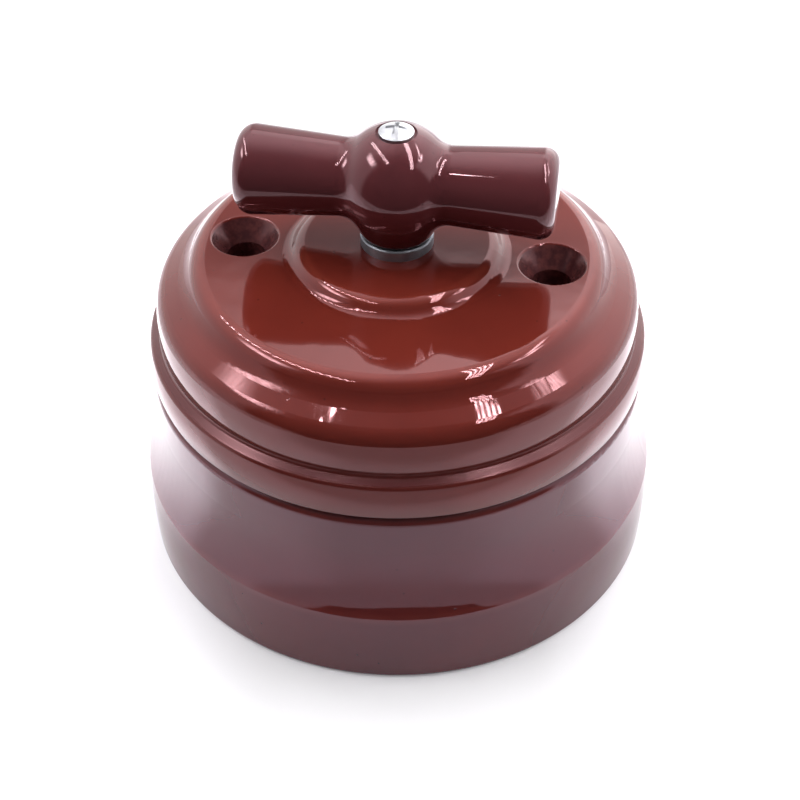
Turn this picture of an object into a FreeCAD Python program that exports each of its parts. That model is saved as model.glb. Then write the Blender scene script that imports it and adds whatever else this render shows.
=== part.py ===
import FreeCAD, Part
import math
import os
import re
import Sketcher

# Porcelain rotary switch, in millimetres. The origin is at the middle of the wall face,
# +Z runs out of the wall along the spindle, and the two fixing screws lie on the X axis.

V = FreeCAD.Vector

# Driving dimensions: name, value, what it is
SIZES = [
    ("body_radius", 32.7, "radius of the base under the seam"),
    ("foot_reach", 2.1, "how far the foot's upper edge stands out past that radius"),
    ("foot_bulge", 0.15, "bulge of the foot's band past its upper edge"),
    ("foot_tuck", 0.05, "step of the foot's lower edge inside its upper edge"),
    ("foot_height", 11.0, "height of the foot's upper edge"),
    ("foot_round", 0.6, "rounding at the wall face"),
    ("shoulder_round", 0.5, "rounding of the foot's upper edge"),
    ("flare_height", 9.6, "height of the flare over the foot"),
    ("base_height", 26.7, "height of the seam between base and cover"),
    ("base_rim_round", 1.2, "rounding of the base's top edge"),
    ("base_wall", 4.5, "thickness of the base's wall"),
    ("rebate_width", 2.4, "width of the seat that the cover rests on"),
    ("rebate_depth", 1.8, "depth of the step inside that seat"),
    ("floor_thickness", 4.2, "thickness of the base's floor"),
    ("recess_depth", 0.8, "hollow under the floor"),
    ("foot_ring_width", 4.2, "width of the ring that touches the wall"),
    ("cable_hole_radius", 12.0, "cable hole through the floor"),
    ("sink_margin", 1.58, "plate left between a fixing screw's countersink and the plate's corner"),
    ("fixing_hole_radius", 2.5, "hole for a fixing screw"),
    ("base_pillar_radius", 6.0, "pillar round a fixing hole in the base"),
    ("web_width", 5.0, "web that joins a pillar to the wall"),
    ("cover_inset", 0.2, "step of the cover's lower edge inside the body's radius"),
    ("cover_edge_round", 0.5, "rounding of the cover's lower edge"),
    ("bead_reach", 0.22, "how far the cover's rim bead stands out past the body's radius"),
    ("bead_rise", 2.9, "height of the bead's widest place above the seam"),
    ("bead_top_inset", 0.1, "step of the bead's top edge inside the body's radius"),
    ("bead_top_rise", 5.15, "height of the bead's top edge above the seam"),
    ("bead_top_round", 0.6, "rounding of the bead's top edge"),
    ("groove_depth", 1.4, "depth of the groove over the bead inside the body's radius"),
    ("groove_climb", 0.9, "height of the groove above the bead's top edge"),
    ("groove_round", 0.4, "rounding in the groove"),
    ("crown_inset", 1.25, "step of the crown's wall inside the body's radius"),
    ("crown_side_climb", 2.0, "height of the wall's widest place above the groove"),
    ("crown_top_inset", 1.65, "step of the crown's upper corner inside the body's radius"),
    ("crown_height", 5.95, "height of that corner above the groove"),
    ("crown_round", 2.6, "rounding of the crown's upper corner"),
    ("slope_width", 3.65, "width of the crown's slope, from the corner in to the cove"),
    ("slope_climb", 2.1, "height of that slope"),
    ("cove_round", 4.2, "rounding of the cove between the slope and the plate's wall"),
    ("plate_wall_width", 1.4, "width of the plate's leaning wall"),
    ("plate_wall_height", 2.3, "height of that wall"),
    ("plate_round", 2.4, "rounding of the raised plate's edge"),
    ("boss_margin", 1.58, "plate left between a countersink and the centre boss's foot"),
    ("boss_lean", 1.5, "how far the centre boss's side leans in"),
    ("boss_rise", 1.5, "height of the centre boss above the plate"),
    ("boss_foot_round", 1.8, "rounding at the boss's foot"),
    ("boss_edge_round", 1.8, "rounding of the boss's edge"),
    ("cover_thickness", 3.8, "thickness of the raised plate"),
    ("cover_wall_rise", 6.2, "height of the cover's straight inner wall above the seam"),
    ("cover_ceiling_radius", 22.2, "radius of the flat ceiling inside the cover"),
    ("lip_gap", 0.2, "gap all round the lip that centres the cover"),
    ("cover_pillar_radius", 5.2, "pillar round a fixing hole in the cover"),
    ("pillar_gap", 0.2, "gap between the pillars of cover and base"),
    ("sink_radius", 4.42, "radius of the countersinks at the plate"),
    ("sink_angle", 68.0, "full angle of the countersinks"),
    ("sink_round", 0.3, "rounding of the countersinks' edge"),
    ("bush_thread_radius", 4.0, "outside of the threaded bush"),
    ("bush_bore_radius", 3.0, "bore of the threaded bush"),
    ("thread_gap", 0.15, "gap round the threaded bush"),
    ("fit_gap", 0.05, "gap of threads and close fits"),
    ("bush_stop", 0.3, "depth of the bush's end in the ring nut"),
    ("bush_flange_radius", 6.2, "flange of the threaded bush"),
    ("bush_flange_height", 1.0, "thickness of that flange"),
    ("nut_radius", 4.72, "outside of the ring nut under the knob"),
    ("nut_height", 1.5, "height of the ring nut"),
    ("nut_round", 0.3, "rounding of the ring nut"),
    ("washer_radius", 9.0, "outside of the fibre washer under the cover"),
    ("washer_height", 0.8, "thickness of the fibre washer"),
    ("strap_end", 3.0, "steel strap that carries the bush, from a screw to its end"),
    ("strap_width", 15.0, "width of that strap"),
    ("strap_height", 1.0, "thickness of that strap"),
    ("strap_round", 3.0, "rounding of the strap's corners"),
    ("strap_screw_pitch", 30.0, "distance between the strap's two screws"),
    ("block_length", 40.0, "length of the switch block, along Y"),
    ("block_width", 26.0, "width of the switch block, along X"),
    ("block_height", 13.0, "height of the switch block"),
    ("block_round", 8.0, "rounding of the switch block's corners"),
    ("index_depth", 6.0, "depth of the index pocket in the block's top"),
    ("index_width", 17.0, "width of the index pocket, along X"),
    ("index_breadth", 15.0, "breadth of the index pocket, along Y"),
    ("web_height", 1.5, "web between the index pocket and the contact chamber"),
    ("chamber_radius", 10.4, "radius of the contact chamber"),
    ("cam_width", 9.0, "width across the flats of the index cam"),
    ("cam_height", 4.2, "height of the index cam"),
    ("cam_round", 1.3, "rounding of the index cam's corners"),
    ("cam_seat_gap", 0.3, "gap between the index cam and the web"),
    ("spring_gap", 0.15, "gap between a leaf spring and the cam's flat"),
    ("spring_length", 20.0, "length of a leaf spring"),
    ("spring_end_gap", 0.25, "gap at the ends of a leaf spring and beside them in their slots"),
    ("spring_thickness", 0.5, "thickness of a leaf spring"),
    ("spring_height", 3.6, "width of a leaf spring's strip, along Z"),
    ("spindle_radius", 2.95, "round part of the spindle"),
    ("spindle_square", 4.1, "width across the flats of the spindle's square"),
    ("stub_radius", 1.9, "round stub at the spindle's inner end"),
    ("stub_length", 1.8, "length of that stub"),
    ("clip_radius", 3.6, "outside of the retaining clip"),
    ("clip_height", 0.6, "thickness of the retaining clip"),
    ("clip_mouth", 2.8, "opening of the retaining clip"),
    ("square_gap", 0.05, "gap all round the spindle's square"),
    ("spindle_end_gap", 0.5, "gap over the spindle's end in the knob's socket"),
    ("rotor_radius", 7.8, "radius of the contact rotor"),
    ("rotor_height", 5.0, "height of the contact rotor"),
    ("rotor_gap", 0.25, "gap between the rotor and the web"),
    ("bridge_reach", 8.8, "radius swept by the bridging contact"),
    ("bridge_width", 4.0, "width of the bridging contact"),
    ("bridge_height", 1.2, "thickness of the bridging contact"),
    ("bridge_rise", 1.5, "height of the bridging contact above the rotor's lower face"),
    ("bridge_hub_radius", 4.6, "round middle of the bridging contact"),
    ("contact_offset", 6.2, "distance of a fixed contact from the YZ plane"),
    ("contact_thickness", 0.8, "thickness of a fixed contact"),
    ("contact_height", 3.4, "height of a fixed contact"),
    ("contact_rise", 0.8, "height of a fixed contact above the block's lower face"),
    ("contact_slot_gap", 0.25, "gap round a fixed contact in the block"),
    ("contact_tip_gap", 0.3, "gap between a fixed contact and the bridge's sweep"),
    ("contact_bead_radius", 0.6, "rolled bead at a fixed contact's tip"),
    ("terminal_width", 6.0, "terminal block, along X"),
    ("terminal_length", 6.4, "terminal block, along Y"),
    ("terminal_height", 7.0, "terminal block, along Z"),
    ("terminal_x", 6.9, "middle of a terminal block from the YZ plane"),
    ("terminal_y", 14.6, "middle of a terminal block from the XZ plane"),
    ("terminal_rise", 1.2, "height of a terminal block above the block's lower face"),
    ("terminal_gap", 0.1, "gap all round a terminal block"),
    ("wire_hole_radius", 1.5, "hole for a wire in a terminal block"),
    ("wire_hole_rise", 4.3, "height of that hole above the terminal block's lower face"),
    ("terminal_screw_radius", 1.25, "shank of a terminal screw"),
    ("terminal_screw_length", 3.3, "length of that shank"),
    ("terminal_head_radius", 2.3, "head of a terminal screw"),
    ("terminal_head_height", 1.3, "height of a terminal screw's head"),
    ("terminal_head_stand", 0.5, "distance of the head from its block"),
    ("slot_width", 0.6, "screwdriver slot of the small screws"),
    ("slot_depth", 0.4, "depth of that slot"),
    ("guard_radius", 11.6, "fibre guard over the contact chamber"),
    ("guard_height", 0.8, "thickness of the fibre guard"),
    ("guard_hole_radius", 4.3, "hole in the middle of the guard"),
    ("guard_ear_width", 6.4, "width of the guard's two ears"),
    ("guard_screw_pitch", 25.8, "distance between the guard's two screws"),
    ("guard_screw_radius", 0.9, "shank of a guard screw"),
    ("guard_screw_length", 4.0, "length of a guard screw under its head"),
    ("guard_head_radius", 1.7, "head of a guard screw"),
    ("guard_head_height", 0.8, "height of a guard screw's head"),
    ("screw_hole_gap", 0.15, "gap round the screws in the strap and the guard"),
    ("small_screw_radius", 1.2, "shank of the strap's screws"),
    ("small_head_radius", 2.1, "head of the strap's screws"),
    ("small_head_height", 0.7, "height of the strap's screw heads"),
    ("small_screw_length", 4.5, "length of the strap's screws"),
    ("knob_gap", 0.3, "gap between the ring nut and the knob"),
    ("hub_radius", 7.5, "spherical hub of the knob"),
    ("hub_sink", 0.25, "how far the hub's ball would reach past the neck's lower end"),
    ("arm_inset", 2.6, "step from the hub's radius to an arm's radius at the hub"),
    ("arm_taper", 0.95, "how much wider an arm is at its end"),
    ("knob_length", 40.5, "length of the knob's bar"),
    ("arm_blend", 3.0, "rounding between an arm and the hub"),
    ("arm_end_round", 2.0, "rounding of an arm's end"),
    ("arm_end_crown", 0.35, "bulge of an arm's end"),
    ("neck_radius", 4.62, "lower end of the knob's neck"),
    ("neck_round", 0.4, "rounding of the neck's lower edge"),
    ("socket_depth", 11.0, "depth of the square socket in the knob"),
    ("screw_seat_drop", 0.75, "depth of the screw's seat under the hub's top"),
    ("screw_seat_radius", 2.6, "radius of the screw's seat"),
    ("screw_head_radius", 2.2, "head of the knob's screw"),
    ("screw_head_edge", 0.45, "height of the head's straight edge"),
    ("screw_head_height", 1.15, "height of the domed head"),
    ("screw_radius", 1.2, "shank of the knob's screw"),
    ("screw_length", 10.0, "length of the knob's screw under its head"),
    ("screw_gap", 0.1, "gap round the shank in the knob"),
    ("screw_tip_gap", 1.0, "gap under the tip of the knob's screw"),
    ("cross_length", 2.7, "length of each bar of the cross recess"),
    ("cross_width", 0.55, "width of the cross recess"),
    ("cross_depth", 0.7, "depth of the cross recess"),
]

# How far a cut or a join runs past a face
PAST = 1.0

doc = FreeCAD.newDocument("RotarySwitch")
sheet = doc.addObject("Spreadsheet::Sheet", "Sizes")
for row, (alias, size, note) in enumerate(SIZES, start=1):
    sheet.set(f"A{row}", alias)
    sheet.set(f"B{row}", str(size))
    sheet.set(f"C{row}", note)
    sheet.setAlias(f"B{row}", alias)

# Places that follow from the driving dimensions: name, expression
PLACES = [
    ("foot_edge_radius", "body_radius + foot_reach"),
    ("foot_radius", "foot_edge_radius + foot_bulge"),
    ("foot_bottom_radius", "foot_edge_radius - foot_tuck"),
    ("flare_top", "foot_height + flare_height"),
    ("cover_edge_radius", "body_radius - cover_inset"),
    ("bead_radius", "body_radius + bead_reach"),
    ("bead_top_radius", "body_radius - bead_top_inset"),
    ("bead_top", "base_height + bead_top_rise"),
    ("groove_radius", "body_radius - groove_depth"),
    ("groove_height", "bead_top + groove_climb"),
    ("crown_radius", "body_radius - crown_inset"),
    ("crown_top_radius", "body_radius - crown_top_inset"),
    ("crown_top", "groove_height + crown_height"),
    ("cove_radius", "crown_top_radius - slope_width"),
    ("cove_height", "crown_top + slope_climb"),
    ("plate_radius", "cove_radius - plate_wall_width"),
    ("plate_top", "cove_height + plate_wall_height"),
    ("chamber_wall_radius", "body_radius - base_wall"),
    ("rebate_radius", "body_radius - rebate_width"),
    ("floor_top", "recess_depth + floor_thickness"),
    ("recess_radius", "foot_bottom_radius - foot_ring_width"),
    ("fixing_x", "plate_radius - sink_radius - sink_margin"),
    ("boss_foot_radius", "fixing_x - sink_radius - boss_margin"),
    ("boss_radius", "boss_foot_radius - boss_lean"),
    ("ceiling", "plate_top - cover_thickness"),
    ("boss_top", "plate_top + boss_rise"),
    ("nut_top", "boss_top + nut_height"),
    ("thread_hole_radius", "bush_thread_radius + thread_gap"),
    ("strap_top", "ceiling - washer_height"),
    ("strap_length", "strap_screw_pitch + 2 * strap_end"),
    ("block_top", "strap_top - strap_height"),
    ("block_bottom", "block_top - block_height"),
    ("index_floor", "block_top - index_depth"),
    ("chamber_top", "index_floor - web_height"),
    ("cam_bottom", "index_floor + cam_seat_gap"),
    ("cam_top", "cam_bottom + cam_height"),
    ("rotor_top", "chamber_top - rotor_gap"),
    ("rotor_bottom", "rotor_top - rotor_height"),
    ("clip_top", "rotor_bottom - square_gap"),
    ("clip_bottom", "clip_top - clip_height"),
    ("bridge_bottom", "rotor_bottom + bridge_rise"),
    ("square_hole", "spindle_square + 2 * square_gap"),
    ("guard_bottom", "block_bottom - guard_height"),
    ("knob_bottom", "nut_top + knob_gap"),
    ("knob_axis", "knob_bottom + hub_radius - hub_sink"),
    ("arm_root_radius", "hub_radius - arm_inset"),
    ("arm_end_radius", "arm_root_radius + arm_taper"),
    ("hub_top", "knob_axis + hub_radius"),
    ("arm_root", "sqrt(hub_radius^2 - arm_root_radius^2)"),
    ("neck_height", "knob_axis - knob_bottom"),
    ("neck_far", "neck_radius^2 + neck_height^2"),
    ("neck_slant", "sqrt(neck_far - hub_radius^2)"),
    ("neck_top_radius", "hub_radius * (hub_radius * neck_radius + neck_slant * neck_height) / neck_far"),
    ("neck_top", "knob_axis - hub_radius * (hub_radius * neck_height - neck_slant * neck_radius) / neck_far"),
    ("screw_seat", "hub_top - screw_seat_drop"),
    ("socket_top", "knob_bottom + socket_depth"),
    ("spindle_top", "socket_top - spindle_end_gap"),
    ("screw_tip", "screw_seat - screw_length"),
    ("dome_rise", "screw_head_height - screw_head_edge"),
    ("dome_radius", "(screw_head_radius^2 + dome_rise^2) / (2 * dome_rise)"),
    ("terminal_bottom", "block_bottom + terminal_rise"),
    ("terminal_inner", "terminal_y - terminal_length / 2"),
    ("contact_bottom", "block_bottom + contact_rise"),
    ("contact_tip", "sqrt((bridge_reach + contact_tip_gap + contact_bead_radius)^2"
                    " - (contact_offset + contact_bead_radius)^2)"),
    ("contact_middle", "contact_offset + contact_thickness / 2"),
    ("spring_middle", "cam_width / 2 + spring_gap + spring_thickness / 2"),
]
CELLS = {name: f"B{row}" for row, (name, *rest) in enumerate(SIZES + PLACES, start=1)}
for row, (alias, formula) in enumerate(PLACES, start=len(SIZES) + 1):
    in_cells = re.sub(r"[a-z_]+", lambda word: CELLS.get(word.group(), word.group()), formula)
    sheet.set(f"A{row}", alias)
    sheet.set(f"B{row}", "=" + in_cells)
    sheet.setAlias(f"B{row}", alias)
doc.recompute()


def sized(formula):
    """Expression text in which each named size points at its cell."""
    def point(word):
        name = word.group()
        return "Sizes." + name if name in CELLS else name
    return re.sub(r"[a-z_]+", point, str(formula))


def value(formula):
    """Present value of a formula in the named sizes."""
    return float(sheet.evalExpression(sized(formula)))


def bind(feature, **formulas):
    """Tie properties of a feature to formulas in the named sizes."""
    for name, formula in formulas.items():
        feature.setExpression(name, sized(formula))
    return feature


# Sketches and part-design features

def make_body(label):
    body = doc.addObject("PartDesign::Body", label + "_body")
    body.Label = label
    return body


def new_sketch(body, role, offset):
    """Empty sketch on one of the body's origin planes, moved along its normal."""
    plane = [item for item in body.Origin.OriginFeatures if item.Role == role][0]
    sketch = body.newObject("Sketcher::SketchObject", "Sketch")
    sketch.AttachmentSupport = [(plane, "")]
    sketch.MapMode = "FlatFace"
    sketch.setExpression("AttachmentOffset.Base.z", sized(offset))
    return sketch


def pin(sketch, geometry, vertex, x, y):
    """Hold a vertex at the place that two formulas give."""
    for kind, formula in (("DistanceX", x), ("DistanceY", y)):
        rule = Sketcher.Constraint(kind, -1, 1, geometry, vertex, value(formula))
        sketch.setExpression(f"Constraints[{sketch.addConstraint(rule)}]", sized(formula))


def add_outline(sketch, corners):
    """Closed outline of corners (x, y); two more values make the edge after a corner an arc through them."""
    first = sketch.GeometryCount
    count = len(corners)
    for index, corner in enumerate(corners):
        following = corners[(index + 1) % count]
        start = V(value(corner[0]), value(corner[1]), 0)
        end = V(value(following[0]), value(following[1]), 0)
        if len(corner) == 2:
            sketch.addGeometry(Part.LineSegment(start, end), False)
        else:
            sketch.addGeometry(Part.Arc(start, V(value(corner[2]), value(corner[3]), 0), end), False)
    for index, corner in enumerate(corners):
        # a solved arc keeps its own sense, so its ends are matched by place
        start = V(value(corner[0]), value(corner[1]), 0)
        here = nearest_end(sketch, first + index, start)
        before = nearest_end(sketch, first + (index - 1) % count, start)
        sketch.addConstraint(Sketcher.Constraint("Coincident", first + (index - 1) % count, before,
                                                 first + index, here))
        pin(sketch, first + index, here, corner[0], corner[1])
        if len(corner) == 4:
            through = sketch.addGeometry(Part.Point(V(value(corner[2]), value(corner[3]), 0)), True)
            pin(sketch, through, 1, corner[2], corner[3])
            sketch.addConstraint(Sketcher.Constraint("PointOnObject", through, 1, first + index))


def nearest_end(sketch, geometry, place):
    """Number of the vertex, 1 or 2, at which an edge comes nearest to a place."""
    gaps = [(sketch.getPoint(geometry, vertex) - place).Length for vertex in (1, 2)]
    return 1 if gaps[0] <= gaps[1] else 2


def add_circle(sketch, x, y, radius):
    index = sketch.addGeometry(Part.Circle(V(value(x), value(y), 0), V(0, 0, 1), value(radius)), False)
    pin(sketch, index, 3, x, y)
    rule = Sketcher.Constraint("Radius", index, value(radius))
    sketch.setExpression(f"Constraints[{sketch.addConstraint(rule)}]", sized(radius))


def add_rectangle(sketch, x, y, width, length):
    """Rectangle with its middle at (x, y)."""
    left, right = f"({x}) - ({width}) / 2", f"({x}) + ({width}) / 2"
    low, high = f"({y}) - ({length}) / 2", f"({y}) + ({length}) / 2"
    add_outline(sketch, [(left, low), (right, low), (right, high), (left, high)])


def turned(body, corners, kind="Revolution"):
    """Solid of revolution about Z, or with kind Groove a cut, from an outline of (radius, height)."""
    sketch = new_sketch(body, "XZ_Plane", 0)
    add_outline(sketch, corners)
    feature = body.newObject("PartDesign::" + kind, kind)
    feature.Profile = sketch
    feature.ReferenceAxis = (sketch, ["V_Axis"])
    feature.Angle = 360
    doc.recompute()
    return feature


def extruded(body, kind, height, length, rectangles=(), circles=(), role="XY_Plane", reverse=False):
    """Pad or Pocket of rectangles and circles drawn at a height; a pocket runs down from it."""
    sketch = new_sketch(body, role, height)
    for rectangle in rectangles:
        add_rectangle(sketch, *rectangle)
    for circle in circles:
        add_circle(sketch, *circle)
    feature = body.newObject("PartDesign::" + kind, kind)
    feature.Profile = sketch
    feature.Reversed = reverse
    bind(feature, Length=length)
    doc.recompute()
    return feature


def rounded(body, radius, edges):
    """Fillet on the tip's edges that the test picks out."""
    tip = body.Tip
    names = [f"Edge{index}" for index, edge in enumerate(tip.Shape.Edges, start=1) if edges(edge)]
    fillet = body.newObject("PartDesign::Fillet", "Fillet")
    fillet.Base = (tip, names)
    bind(fillet, Radius=radius)
    doc.recompute()
    return fillet


def circle_of(edge, axis):
    """The edge's circle, if it is one about a line along the given axis."""
    if edge.Degenerated or not isinstance(edge.Curve, Part.Circle):
        return None
    return edge.Curve if abs(edge.Curve.Axis.dot(axis)) > 0.999 else None


def ring(radius, height, x="0"):
    """Test for a level circular edge of a radius at a height, about the upright line at x."""
    def test(edge):
        circle = circle_of(edge, V(0, 0, 1))
        return (circle is not None and abs(circle.Radius - value(radius)) < 1e-4
                and abs(circle.Center.z - value(height)) < 1e-4 and abs(circle.Center.x - value(x)) < 1e-4)
    return test


def bar_ring(radius):
    """Test for a circular edge of a radius about the X direction."""
    def test(edge):
        circle = circle_of(edge, V(1, 0, 0))
        return circle is not None and abs(circle.Radius - value(radius)) < 1e-4
    return test


def upright(edge):
    """Test for a straight edge along Z."""
    straight = isinstance(edge.Curve, (Part.Line, Part.LineSegment))
    return straight and abs(edge.tangentAt(edge.FirstParameter).z) > 0.999


# Plain primitives and booleans for the small parts

def placed(feature, x, y, z, rotation=None):
    feature.Placement = FreeCAD.Placement(V(0, 0, 0), rotation or FreeCAD.Rotation())
    for axis, formula in (("x", x), ("y", y), ("z", z)):
        feature.setExpression("Placement.Base." + axis, sized(formula))
    return feature


def cylinder(radius, height, x="0", y="0", z="0", rotation=None):
    feature = bind(doc.addObject("Part::Cylinder", "Cylinder"), Radius=radius, Height=height)
    return placed(feature, x, y, z, rotation)


def block(width, length, height, x="0", y="0", z="0"):
    """Box with the middle of its lower face at (x, y, z)."""
    feature = bind(doc.addObject("Part::Box", "Box"), Length=width, Width=length, Height=height)
    return placed(feature, f"({x}) - ({width}) / 2", f"({y}) - ({length}) / 2", z)


def through(radius, z, height, y="0"):
    """Tool for a round hole through a thickness that starts at z."""
    return cylinder(radius, f"{height} + 2 * {PAST}", y=y, z=f"{z} - {PAST}")


def cut(solid, *tools):
    """Solid less each tool in turn."""
    for tool in tools:
        feature = doc.addObject("Part::Cut", "Cut")
        feature.Base = solid
        feature.Tool = tool
        solid = feature
    return solid


def fuse(*solids):
    feature = doc.addObject("Part::MultiFuse", "Fuse")
    feature.Shapes = list(solids)
    feature.Refine = True
    return feature


def group(*solids):
    feature = doc.addObject("Part::Compound", "Group")
    feature.Links = list(solids)
    return feature


NODES = []


def node(feature, label):
    """Name a finished sub-part after the file that it is written to."""
    feature.Label = label
    NODES.append(feature)
    return feature


# Base: a glazed porcelain cup with a flared foot, a cable hole and two pillars for the fixing screws

def build_base():
    body = make_body("base")
    # a flare that leaves the wall upright has a quarter of its reach at half its height
    half_flare = "body_radius + foot_reach / 4"
    turned(body, [
        ("recess_radius", "0"),
        ("foot_bottom_radius", "0", "foot_radius", "foot_height / 2"),
        ("foot_edge_radius", "foot_height", half_flare, "(foot_height + flare_top) / 2"),
        ("body_radius", "flare_top"),
        ("body_radius", "base_height"),
        ("rebate_radius", "base_height"),
        ("rebate_radius", "base_height - rebate_depth"),
        ("chamber_wall_radius", "base_height - rebate_depth"),
        ("chamber_wall_radius", "floor_top"),
        ("cable_hole_radius", "floor_top"),
        ("cable_hole_radius", "recess_depth"),
        ("recess_radius", "recess_depth"),
    ])
    rounded(body, "base_rim_round", ring("body_radius", "base_height"))
    rounded(body, "shoulder_round", ring("foot_edge_radius", "foot_height"))
    rounded(body, "foot_round", ring("foot_bottom_radius", "0"))
    pillars = [(side + "fixing_x", "0", "base_pillar_radius") for side in ("", "-")]
    inside = f"floor_top - {PAST}"
    extruded(body, "Pad", inside, f"base_height - ({inside})", circles=pillars)
    reach = f"(chamber_wall_radius + {PAST} - fixing_x)"
    webs = [(f"{side}(fixing_x + {reach} / 2)", "0", reach, "web_width") for side in ("", "-")]
    extruded(body, "Pad", inside, f"base_height - rebate_depth - ({inside})", rectangles=webs)
    holes = [(side + "fixing_x", "0", "fixing_hole_radius") for side in ("", "-")]
    extruded(body, "Pocket", f"base_height + {PAST}", f"base_height + 2 * {PAST}", circles=holes)
    node(body, "base")


# Cover: a moulded porcelain shell with a rim bead, a crown, a raised plate and a centre boss

def build_cover():
    body = make_body("cover")
    lip_radius = "rebate_radius - lip_gap"
    turned(body, [
        ("thread_hole_radius", "ceiling"),
        ("cover_ceiling_radius", "ceiling"),
        ("chamber_wall_radius", "base_height + cover_wall_rise"),
        ("chamber_wall_radius", "base_height - rebate_depth + lip_gap"),
        (lip_radius, "base_height - rebate_depth + lip_gap"),
        (lip_radius, "base_height"),
        ("cover_edge_radius", "base_height", "bead_radius", "base_height + bead_rise"),
        ("bead_top_radius", "bead_top"),
        ("groove_radius", "groove_height", "crown_radius", "groove_height + crown_side_climb"),
        ("crown_top_radius", "crown_top"),
        ("cove_radius", "cove_height"),
        ("plate_radius", "plate_top"),
        ("boss_foot_radius", "plate_top"),
        ("boss_radius", "boss_top"),
        ("thread_hole_radius", "boss_top"),
    ])
    rounded(body, "cover_edge_round", ring("cover_edge_radius", "base_height"))
    rounded(body, "bead_top_round", ring("bead_top_radius", "bead_top"))
    rounded(body, "groove_round", ring("groove_radius", "groove_height"))
    rounded(body, "crown_round", ring("crown_top_radius", "crown_top"))
    rounded(body, "cove_round", ring("cove_radius", "cove_height"))
    rounded(body, "plate_round", ring("plate_radius", "plate_top"))
    rounded(body, "boss_foot_round", ring("boss_foot_radius", "plate_top"))
    rounded(body, "boss_edge_round", ring("boss_radius", "boss_top"))
    pillars = [(side + "fixing_x", "0", "cover_pillar_radius") for side in ("", "-")]
    extruded(body, "Pad", "base_height + pillar_gap", f"ceiling - base_height - pillar_gap + {PAST}",
             circles=pillars)
    sketch = new_sketch(body, "XY_Plane", "plate_top")
    for side in ("", "-"):
        add_circle(sketch, side + "fixing_x", "0", "fixing_hole_radius")
    doc.recompute()
    hole = body.newObject("PartDesign::Hole", "Hole")
    hole.Profile = sketch
    doc.recompute()
    hole.ThreadType = "None"
    hole.DepthType = "ThroughAll"
    hole.HoleCutType = "Countersink"
    hole.HoleCutCustomValues = True
    bind(hole, Diameter="2 * fixing_hole_radius", HoleCutDiameter="2 * sink_radius",
         HoleCutCountersinkAngle="sink_angle")
    doc.recompute()
    rims = [ring("sink_radius", "plate_top", side + "fixing_x") for side in ("", "-")]
    rounded(body, "sink_round", lambda edge: any(rim(edge) for rim in rims))
    node(body, "cover")


# Fixed metal and fibre parts round the spindle

def build_bush_parts():
    bush = make_body("threaded_bush")
    turned(bush, [
        ("bush_bore_radius", "block_top - bush_flange_height"),
        ("bush_flange_radius", "block_top - bush_flange_height"),
        ("bush_flange_radius", "block_top"),
        ("bush_thread_radius", "block_top"),
        ("bush_thread_radius", "nut_top - bush_stop"),
        ("bush_bore_radius", "nut_top - bush_stop"),
    ])
    node(bush, "threaded_bush")
    nut = make_body("ring_nut")
    turned(nut, [
        ("bush_thread_radius + fit_gap", "boss_top"),
        ("nut_radius", "boss_top"),
        ("nut_radius", "nut_top"),
        ("bush_thread_radius + fit_gap", "nut_top"),
    ])
    rounded(nut, "nut_round", ring("nut_radius", "nut_top"))
    node(nut, "ring_nut")
    washer = cut(cylinder("washer_radius", "washer_height", z="strap_top"),
                 through("thread_hole_radius", "strap_top", "washer_height"))
    node(washer, "fibre_washer")


# Steel strap that carries the bush, with its two screws

def build_strap():
    strap = make_body("mounting_strap")
    outline = [("0", "0", "strap_width", "strap_length")]
    extruded(strap, "Pad", "block_top", "strap_height", rectangles=outline)
    rounded(strap, "strap_round", upright)
    hole = "small_screw_radius + screw_hole_gap"
    holes = [("0", side + "strap_screw_pitch / 2", hole) for side in ("", "-")]
    holes.append(("0", "0", "bush_thread_radius + fit_gap"))
    extruded(strap, "Pocket", f"strap_top + {PAST}", f"strap_height + 2 * {PAST}", circles=holes)
    node(strap, "mounting_strap")
    screws = []
    for side in ("", "-"):
        y = side + "strap_screw_pitch / 2"
        shank = cylinder("small_screw_radius", "small_screw_length", y=y,
                         z="strap_top - small_screw_length")
        head = cylinder("small_head_radius", "small_head_height", y=y, z="strap_top")
        slot = block(f"2 * small_head_radius + {PAST}", "slot_width", f"slot_depth + {PAST}", y=y,
                     z="strap_top + small_head_height - slot_depth")
        screws.append(cut(fuse(shank, head), slot))
    node(group(*screws), "strap_screws")


# Switch block: phenolic moulding with the index pocket above and the contact chamber below

TERMINALS = [(across, along) for across in ("", "-") for along in ("", "-")]


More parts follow.
